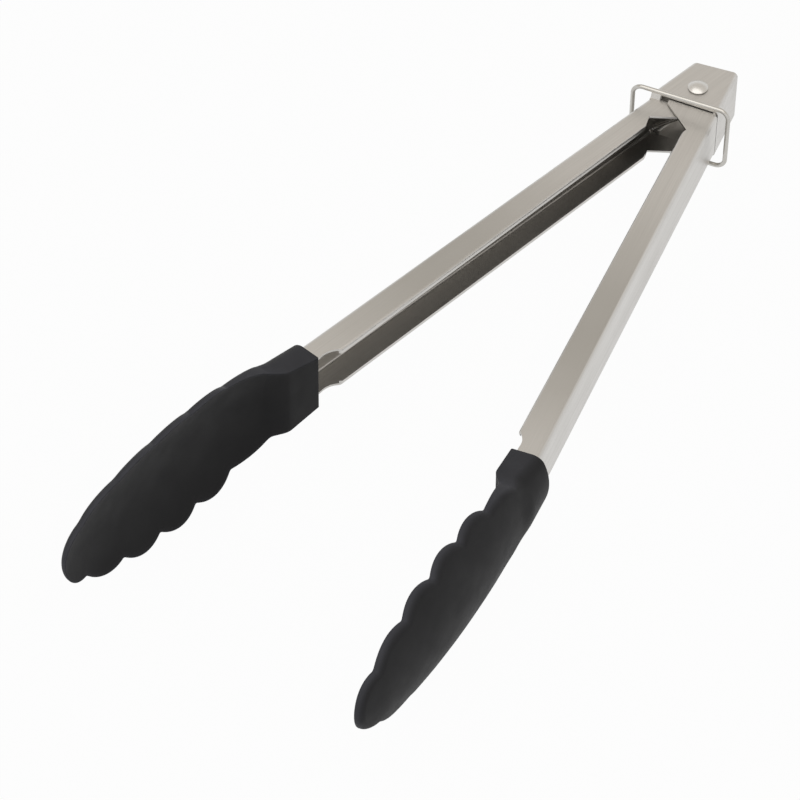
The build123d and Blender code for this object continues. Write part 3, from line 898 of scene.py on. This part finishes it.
class TONGS_OT_ring(bpy.types.Operator):
    """Bends the wire lock ring round both arms"""
    bl_idname = "tongs.ring"
    bl_label = "Lock ring"

    def execute(self, context):
        sizes = context.scene.tongs_ring
        colours = context.scene.tongs_finish
        low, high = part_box("lock_ring")
        middle = (low + high) / 2
        deselect()
        bpy.ops.mesh.primitive_plane_add(size=1)
        piece = context.object
        edit_all(piece)
        bpy.ops.transform.resize(value=(sizes.width, sizes.height, 1))
        bpy.ops.mesh.bevel(offset=sizes.corner, offset_type="OFFSET", affect="VERTICES",
                           segments=sizes.segments)
        bpy.ops.mesh.select_all(action="SELECT")
        bpy.ops.mesh.delete(type="ONLY_FACE")
        bpy.ops.object.mode_set(mode="OBJECT")
        piece.matrix_world = (Matrix.Translation(middle) @ Matrix.Rotation(sizes.turn, 4, "Z")
                              @ Matrix.Rotation(pi / 2, 4, "X"))
        settle(piece)
        bpy.ops.object.convert(target="CURVE")
        piece = wire_piece(context.object, sizes.wire, sizes.roundness)
        finish = steel_finish("ring_wire", 0, colours.wire, colours.steel_dark, colours.wire_rough,
                              DRAWN_RING)
        finish_piece(piece, "lock_ring_wire", "ring", ["lock_ring"], finish)
        return {"FINISHED"}


class TONGS_OT_stage(bpy.types.Operator):
    """Sets the pale floor, the soft lamps and the camera"""
    bl_idname = "tongs.stage"
    bl_label = "Stage"

    def execute(self, context):
        scene = context.scene
        sizes = scene.tongs_stage
        scene.view_settings.view_transform = "Standard"
        deselect()
        bpy.ops.mesh.primitive_plane_add(size=sizes.floor, location=(0, 0, -sizes.floor_drop))
        floor = context.object
        floor.name = "floor"
        floor.data.materials.append(self.floor_finish(sizes))
        self.sky(scene, sizes)
        self.lamp("key_lamp", sizes.key_place, sizes.aim, sizes.key_size, sizes.key)
        self.lamp("fill_lamp", sizes.fill_place, sizes.aim, sizes.fill_size, sizes.fill)
        self.camera(scene, sizes)
        return {"FINISHED"}

    def floor_finish(self, sizes):
        """Pale floor that the camera sees as nearly white, with the object's shadow on it."""
        finish, tree, shader, places = start_material("pale_floor")
        shader.inputs["Roughness"].default_value = FLOOR_ROUGH
        shader.inputs["Specular IOR Level"].default_value = FLOOR_SHINE
        marks = place_group(tree, handling_marks(), Vector=places, Scale=FLOOR_CLOUDS)
        pale = tuple(min(1, part + FLOOR_TONE) for part in sizes.floor_colour)
        tone = mix_colours(tree, marks.outputs["Mask"], sizes.floor_colour, pale)
        feed(tree, tone, shader.inputs["Base Color"])
        glow = add_node(tree, "ShaderNodeEmission", Color=(1, 1, 1))
        mixed = tree.nodes.new("ShaderNodeMixShader")
        feed(tree, calculate(tree, "MULTIPLY", self.seen_rays(tree), sizes.glow), mixed.inputs[0])
        feed(tree, shader.outputs[0], mixed.inputs[1])
        feed(tree, glow.outputs[0], mixed.inputs[2])
        feed(tree, mixed.outputs[0], tree.nodes["Material Output"].inputs["Surface"])
        return finish

    def seen_rays(self, tree):
        """One for rays that show the background, nought for the rest."""
        path = tree.nodes.new("ShaderNodeLightPath")
        total = path.outputs["Is Camera Ray"]
        for name in ("Is Glossy Ray", "Is Transmission Ray"):
            total = calculate(tree, "MAXIMUM", total, path.outputs[name])
        return total

    def sky(self, scene, sizes):
        """Even light, seen as a white horizon under a darker ceiling."""
        world = scene.world or bpy.data.worlds.new("studio")
        scene.world = world
        world.use_nodes = True
        tree = world.node_tree
        background = tree.nodes["Background"]
        direction = tree.nodes.new("ShaderNodeTexCoord")
        parts = add_node(tree, "ShaderNodeSeparateXYZ", Vector=direction.outputs["Generated"])
        high = map_range(tree, parts.outputs["Z"], (sizes.horizon, sizes.zenith), shape="SMOOTHSTEP")
        feed(tree, mix_colours(tree, high, (1, 1, 1), sizes.ceiling), background.inputs["Color"])
        level = map_range(tree, self.seen_rays(tree), (0.0, 1.0), (sizes.sky, 1.0))
        feed(tree, level, background.inputs["Strength"])

    def lamp(self, name, stand, target, width, watts):
        """Square soft lamp that faces a point."""
        deselect()
        bpy.ops.object.light_add(type="AREA", location=stand)
        made = bpy.context.object
        made.name = name
        made.data.shape = "SQUARE"
        made.data.size = width
        made.data.energy = watts
        made.rotation_euler = (Vector(target) - Vector(stand)).to_track_quat("-Z", "Y").to_euler()

    def camera(self, scene, sizes):
        """Camera at the photograph's place."""
        yaw, pitch, roll = sizes.camera_yaw, sizes.camera_pitch, sizes.camera_roll
        look = Vector((sin(yaw) * cos(pitch), cos(yaw) * cos(pitch), -sin(pitch)))
        right = Vector((cos(yaw), -sin(yaw), 0))
        up = right.cross(look)
        across = right * cos(roll) + up * sin(roll)
        upright = up * cos(roll) - right * sin(roll)
        deselect()
        bpy.ops.object.camera_add(location=PIVOT + Vector(sizes.camera_offset))
        made = bpy.context.object
        made.name = "photo_camera"
        made.rotation_euler = Matrix((across, upright, -look)).transposed().to_euler()
        made.data.sensor_width = sizes.camera_sensor
        made.data.lens = sizes.camera_lens
        made.data.clip_end = sizes.camera_end
        scene.camera = made


class TONGS_PT_panel(bpy.types.Panel):
    """Lists the steps, each with its settings, and the finishes"""
    bl_label = "Kitchen tongs"
    bl_idname = "TONGS_PT_panel"
    bl_space_type = "VIEW_3D"
    bl_region_type = "UI"
    bl_category = "Tongs"

    def draw(self, context):
        layout = self.layout
        for operator, group in PARTS:
            layout.operator(operator.bl_idname)
            self.list_settings(layout.box(), getattr(context.scene, group))
        layout.label(text="Finishes")
        self.list_settings(layout.box(), context.scene.tongs_finish)

    def list_settings(self, box, settings):
        """Shows every setting of a group."""
        for name in settings.bl_rna.properties.keys():
            if name not in ("rna_type", "name"):
                box.prop(settings, name)


PARTS = [
    (TONGS_OT_stage, "tongs_stage"),
    (TONGS_OT_arms, "tongs_arms"),
    (TONGS_OT_heads, "tongs_heads"),
    (TONGS_OT_rivet, "tongs_rivet"),
    (TONGS_OT_spring, "tongs_spring"),
    (TONGS_OT_ring, "tongs_ring"),
]
GROUPS = {
    "tongs_arms": TongsArms,
    "tongs_heads": TongsHeads,
    "tongs_rivet": TongsRivet,
    "tongs_spring": TongsSpring,
    "tongs_ring": TongsRing,
    "tongs_finish": TongsFinish,
    "tongs_stage": TongsStage,
}
CLASSES = [*GROUPS.values(), *[operator for operator, _ in PARTS], TONGS_PT_panel]


def register():
    """Adds the classes and the scene's settings."""
    for made in CLASSES:
        bpy.utils.register_class(made)
    for name, group in GROUPS.items():
        setattr(bpy.types.Scene, name, PointerProperty(type=group))


def unregister():
    """Takes the settings and the classes away again."""
    for name in GROUPS:
        delattr(bpy.types.Scene, name)
    for made in reversed(CLASSES):
        bpy.utils.unregister_class(made)


def main():
    """Builds the whole scene."""
    register()
    bpy.ops.tongs.stage()
    bpy.ops.tongs.arms()
    bpy.ops.tongs.heads()
    bpy.ops.tongs.rivet()
    bpy.ops.tongs.spring()
    bpy.ops.tongs.ring()


if __name__ == "__main__":
    main()
